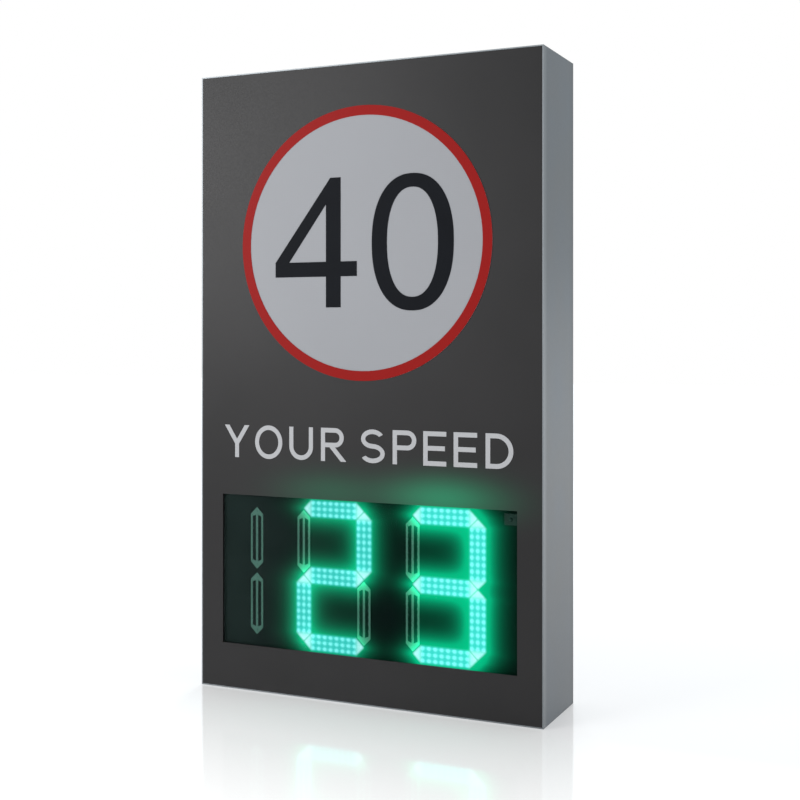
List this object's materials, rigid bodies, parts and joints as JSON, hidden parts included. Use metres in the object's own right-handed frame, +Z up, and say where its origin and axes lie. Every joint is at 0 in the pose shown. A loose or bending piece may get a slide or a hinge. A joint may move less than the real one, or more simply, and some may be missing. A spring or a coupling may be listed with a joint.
{
  "type": "solar speed sign",
  "caption": "Portrait roadside speed sign: boxed aluminium cabinet, speed limit roundel, legend, lit seven-segment display behind a tinted pane, rear service door with locks and pole rails.",
  "frame": {"origin": "middle of the footprint at the underside: x and y in the middle of the overall box, z at the bottom edge of the cabinet", "axes": "+Z up, the face with the roundel and display looks along -Y, +X is right as seen from the front"},
  "size_m": [0.615, 0.1862, 1.05],
  "materials": {
    "silver_profile": "satin anodised",
    "bright_steel": "zinc plated",
    "dark_coating": "semi-matte powder coating",
    "white_reflective": "retroreflective sheet",
    "red_reflective": "retroreflective sheet",
    "black_film": "film",
    "light_film": "film",
    "black_rubber": "foam rubber",
    "smoked_pane": "smoked, glossy",
    "black_plastic": "matte",
    "lit_lens": "milky, lit from behind",
    "milky_lens": "milky",
    "circuit_board": "lacquered board",
    "board_components": "moulded",
    "grey_plastic": "fine grain",
    "silver_panel": "brushed, satin",
    "galvanised_rail": "galvanised",
    "battery_case": "moulded",
    "button_plastic": "glossy",
    "wire_cover": "soft cover"
  },
  "bodies": {
    "cabinet": {"frame_left": "silver_profile", "frame_right": "silver_profile", "frame_top": "silver_profile", "frame_bottom": "silver_profile", "corner_cleats": "bright_steel", "rear_screws": "bright_steel", "rail_bolts": "bright_steel", "hinge_frame_leaves": "bright_steel", "display_fixings": "bright_steel", "front_panel": "dark_coating", "roundel_face": "white_reflective", "roundel_ring": "red_reflective", "numeral_four": "black_film", "numeral_zero": "black_film", "legend_letters": "light_film", "window_gasket": "black_rubber", "window_pane": "smoked_pane", "display_mask": "black_plastic", "light_sensor": "black_plastic", "cable_gland": "black_plastic", "inlet_socket": "black_plastic", "segment_hundreds": "milky_lens", "segment_tens_a": "lit_lens", "segment_tens_b": "lit_lens", "segment_tens_c": "milky_lens", "segment_tens_d": "lit_lens", "segment_tens_e": "lit_lens", "segment_tens_f": "milky_lens", "segment_tens_g": "lit_lens", "segment_units_a": "lit_lens", "segment_units_b": "lit_lens", "segment_units_c": "lit_lens", "segment_units_d": "lit_lens", "segment_units_e": "milky_lens", "segment_units_f": "milky_lens", "segment_units_g": "lit_lens", "led_boards": "circuit_board", "board_parts": "board_components", "radar_sensor": "grey_plastic", "charge_controller": "grey_plastic", "control_board_case": "grey_plastic", "breaker_body": "grey_plastic", "terminal_block": "grey_plastic", "rear_panel": "silver_panel", "pane_retainer": "galvanised_rail", "rail_lower": "galvanised_rail", "rail_upper": "galvanised_rail", "chassis_plate": "galvanised_rail", "din_rail": "galvanised_rail", "battery_tray": "galvanised_rail", "battery": "battery_case", "wiring": "wire_cover"},
    "service_door": {"service_door": "silver_panel", "door_seal": "black_rubber", "hinge_door_leaves": "bright_steel"},
    "lock_lower": {"lock_lower": "bright_steel"},
    "lock_upper": {"lock_upper": "bright_steel"},
    "inlet_flap": {"inlet_flap": "black_plastic"},
    "breaker_lever": {"breaker_lever": "black_plastic"},
    "controller_button": {"controller_button": "button_plastic"}
  },
  "joints": [
    {"name": "door_hinge", "type": "hinge", "parent": "cabinet", "child": "service_door", "pos_m": [-0.2835, 0.07265, 0.58], "axis": [0, 0, 1], "range_deg": [0, 110]},
    {"name": "lock_lower_turn", "type": "hinge", "parent": "service_door", "child": "lock_lower", "pos_m": [-0.084, 0.07305, 0.44], "axis": [0, 1, 0], "range_deg": [0, 90]},
    {"name": "lock_upper_turn", "type": "hinge", "parent": "service_door", "child": "lock_upper", "pos_m": [-0.084, 0.07305, 0.72], "axis": [0, 1, 0], "range_deg": [0, 90]},
    {"name": "inlet_flap_hinge", "type": "hinge", "parent": "cabinet", "child": "inlet_flap", "pos_m": [0.21, 0.07375, 0.0882], "axis": [1, 0, 0], "range_deg": [0, 95], "stiffness_Nm_per_rad": 0.01, "springref_deg": -28.65},
    {"name": "breaker_toggle", "type": "hinge", "parent": "cabinet", "child": "breaker_lever", "pos_m": [-0.221, 0.02505, 0.545], "axis": [1, 0, 0], "range_deg": [-44, 0]},
    {"name": "button_press", "type": "slide", "parent": "cabinet", "child": "controller_button", "axis": [0, -1, 0], "range_m": [0, 0.0025], "stiffness_N_per_m": 300, "springref_m": -0.001}
  ]
}
